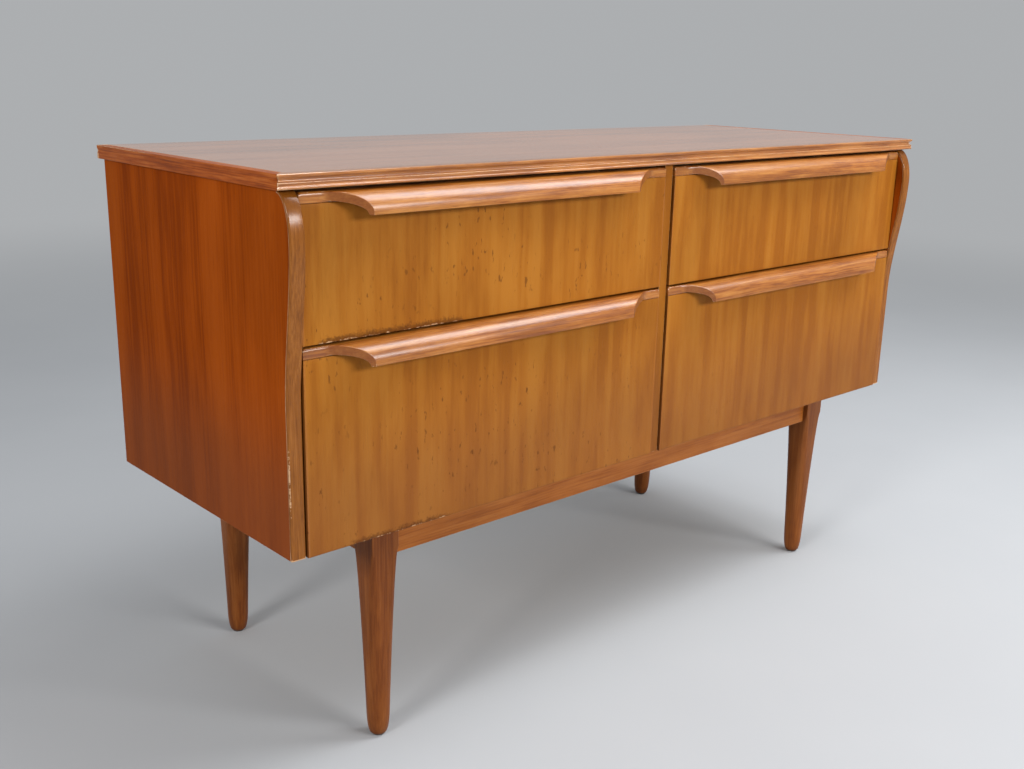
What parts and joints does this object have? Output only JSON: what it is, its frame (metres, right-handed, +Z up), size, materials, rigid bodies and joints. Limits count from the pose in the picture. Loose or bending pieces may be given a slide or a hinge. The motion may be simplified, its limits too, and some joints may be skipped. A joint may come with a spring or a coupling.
{
  "type": "dresser with drawers",
  "caption": "Low wooden dresser: shallow drawers over deep ones under a moulded overhanging top, with curved side edges, hooked lip handles and a frame of tapered legs.",
  "frame": {"origin": "on the floor under the middle of the whole bounding box, handles included", "axes": "+X to the right along the front, +Y to the back, +Z up; the drawers open towards -Y"},
  "size_m": [1.22, 0.453, 0.724],
  "materials": {
    "side_veneer": "deep red-brown teak veneer with upright straight grain under satin lacquer",
    "top_veneer": "red-brown veneer along the length, polished lacquer",
    "front_veneer": "golden brown ribbon-striped veneer with upright grain under satin lacquer",
    "solid_teak": "solid red-brown lippings, mouldings and handles, satin to gloss lacquer",
    "leg_teak": "solid stained legs and rails, satin lacquer",
    "drawer_timber": "plain pale timber inside the carcase and drawers, bare",
    "hardboard": "brown hardboard, smooth on one side",
    "glide": "dark moulded glide"
  },
  "bodies": {
    "carcase": {"back_panel": "hardboard", "bottom_board": "drawer_timber", "centre_divider": "drawer_timber", "divider_lipping": "solid_teak", "frame_rail_front": "leg_teak", "frame_rail_left": "leg_teak", "frame_rail_rear": "leg_teak", "frame_rail_right": "leg_teak", "glide_front_left": "glide", "glide_front_right": "glide", "glide_rear_left": "glide", "glide_rear_right": "glide", "leg_front_left": "leg_teak", "leg_front_right": "leg_teak", "leg_rear_left": "leg_teak", "leg_rear_right": "leg_teak", "runner_lower_left_left": "drawer_timber", "runner_lower_left_right": "drawer_timber", "runner_lower_right_left": "drawer_timber", "runner_lower_right_right": "drawer_timber", "runner_upper_left_left": "drawer_timber", "runner_upper_left_right": "drawer_timber", "runner_upper_right_left": "drawer_timber", "runner_upper_right_right": "drawer_timber", "side_lipping_left": "solid_teak", "side_lipping_right": "solid_teak", "side_panel_left": "side_veneer", "side_panel_right": "side_veneer", "top_board": "top_veneer", "top_moulding_front": "solid_teak", "top_moulding_left": "solid_teak", "top_moulding_right": "solid_teak", "top_rail_front": "drawer_timber", "top_rail_rear": "drawer_timber"},
    "drawer_lower_left": {"drawer_lower_left_back": "drawer_timber", "drawer_lower_left_bottom": "hardboard", "drawer_lower_left_front": "front_veneer", "drawer_lower_left_handle": "solid_teak", "drawer_lower_left_side_left": "drawer_timber", "drawer_lower_left_side_right": "drawer_timber"},
    "drawer_lower_right": {"drawer_lower_right_back": "drawer_timber", "drawer_lower_right_bottom": "hardboard", "drawer_lower_right_front": "front_veneer", "drawer_lower_right_handle": "solid_teak", "drawer_lower_right_side_left": "drawer_timber", "drawer_lower_right_side_right": "drawer_timber"},
    "drawer_upper_left": {"drawer_upper_left_back": "drawer_timber", "drawer_upper_left_bottom": "hardboard", "drawer_upper_left_front": "front_veneer", "drawer_upper_left_handle": "solid_teak", "drawer_upper_left_side_left": "drawer_timber", "drawer_upper_left_side_right": "drawer_timber"},
    "drawer_upper_right": {"drawer_upper_right_back": "drawer_timber", "drawer_upper_right_bottom": "hardboard", "drawer_upper_right_front": "front_veneer", "drawer_upper_right_handle": "solid_teak", "drawer_upper_right_side_left": "drawer_timber", "drawer_upper_right_side_right": "drawer_timber"}
  },
  "joints": [
    {"name": "slide_upper_left", "type": "slide", "parent": "carcase", "child": "drawer_upper_left", "axis": [0, -1, 0], "range_m": [0, 0.3]},
    {"name": "slide_upper_right", "type": "slide", "parent": "carcase", "child": "drawer_upper_right", "axis": [0, -1, 0], "range_m": [0, 0.3]},
    {"name": "slide_lower_left", "type": "slide", "parent": "carcase", "child": "drawer_lower_left", "axis": [0, -1, 0], "range_m": [0, 0.3]},
    {"name": "slide_lower_right", "type": "slide", "parent": "carcase", "child": "drawer_lower_right", "axis": [0, -1, 0], "range_m": [0, 0.3]}
  ]
}
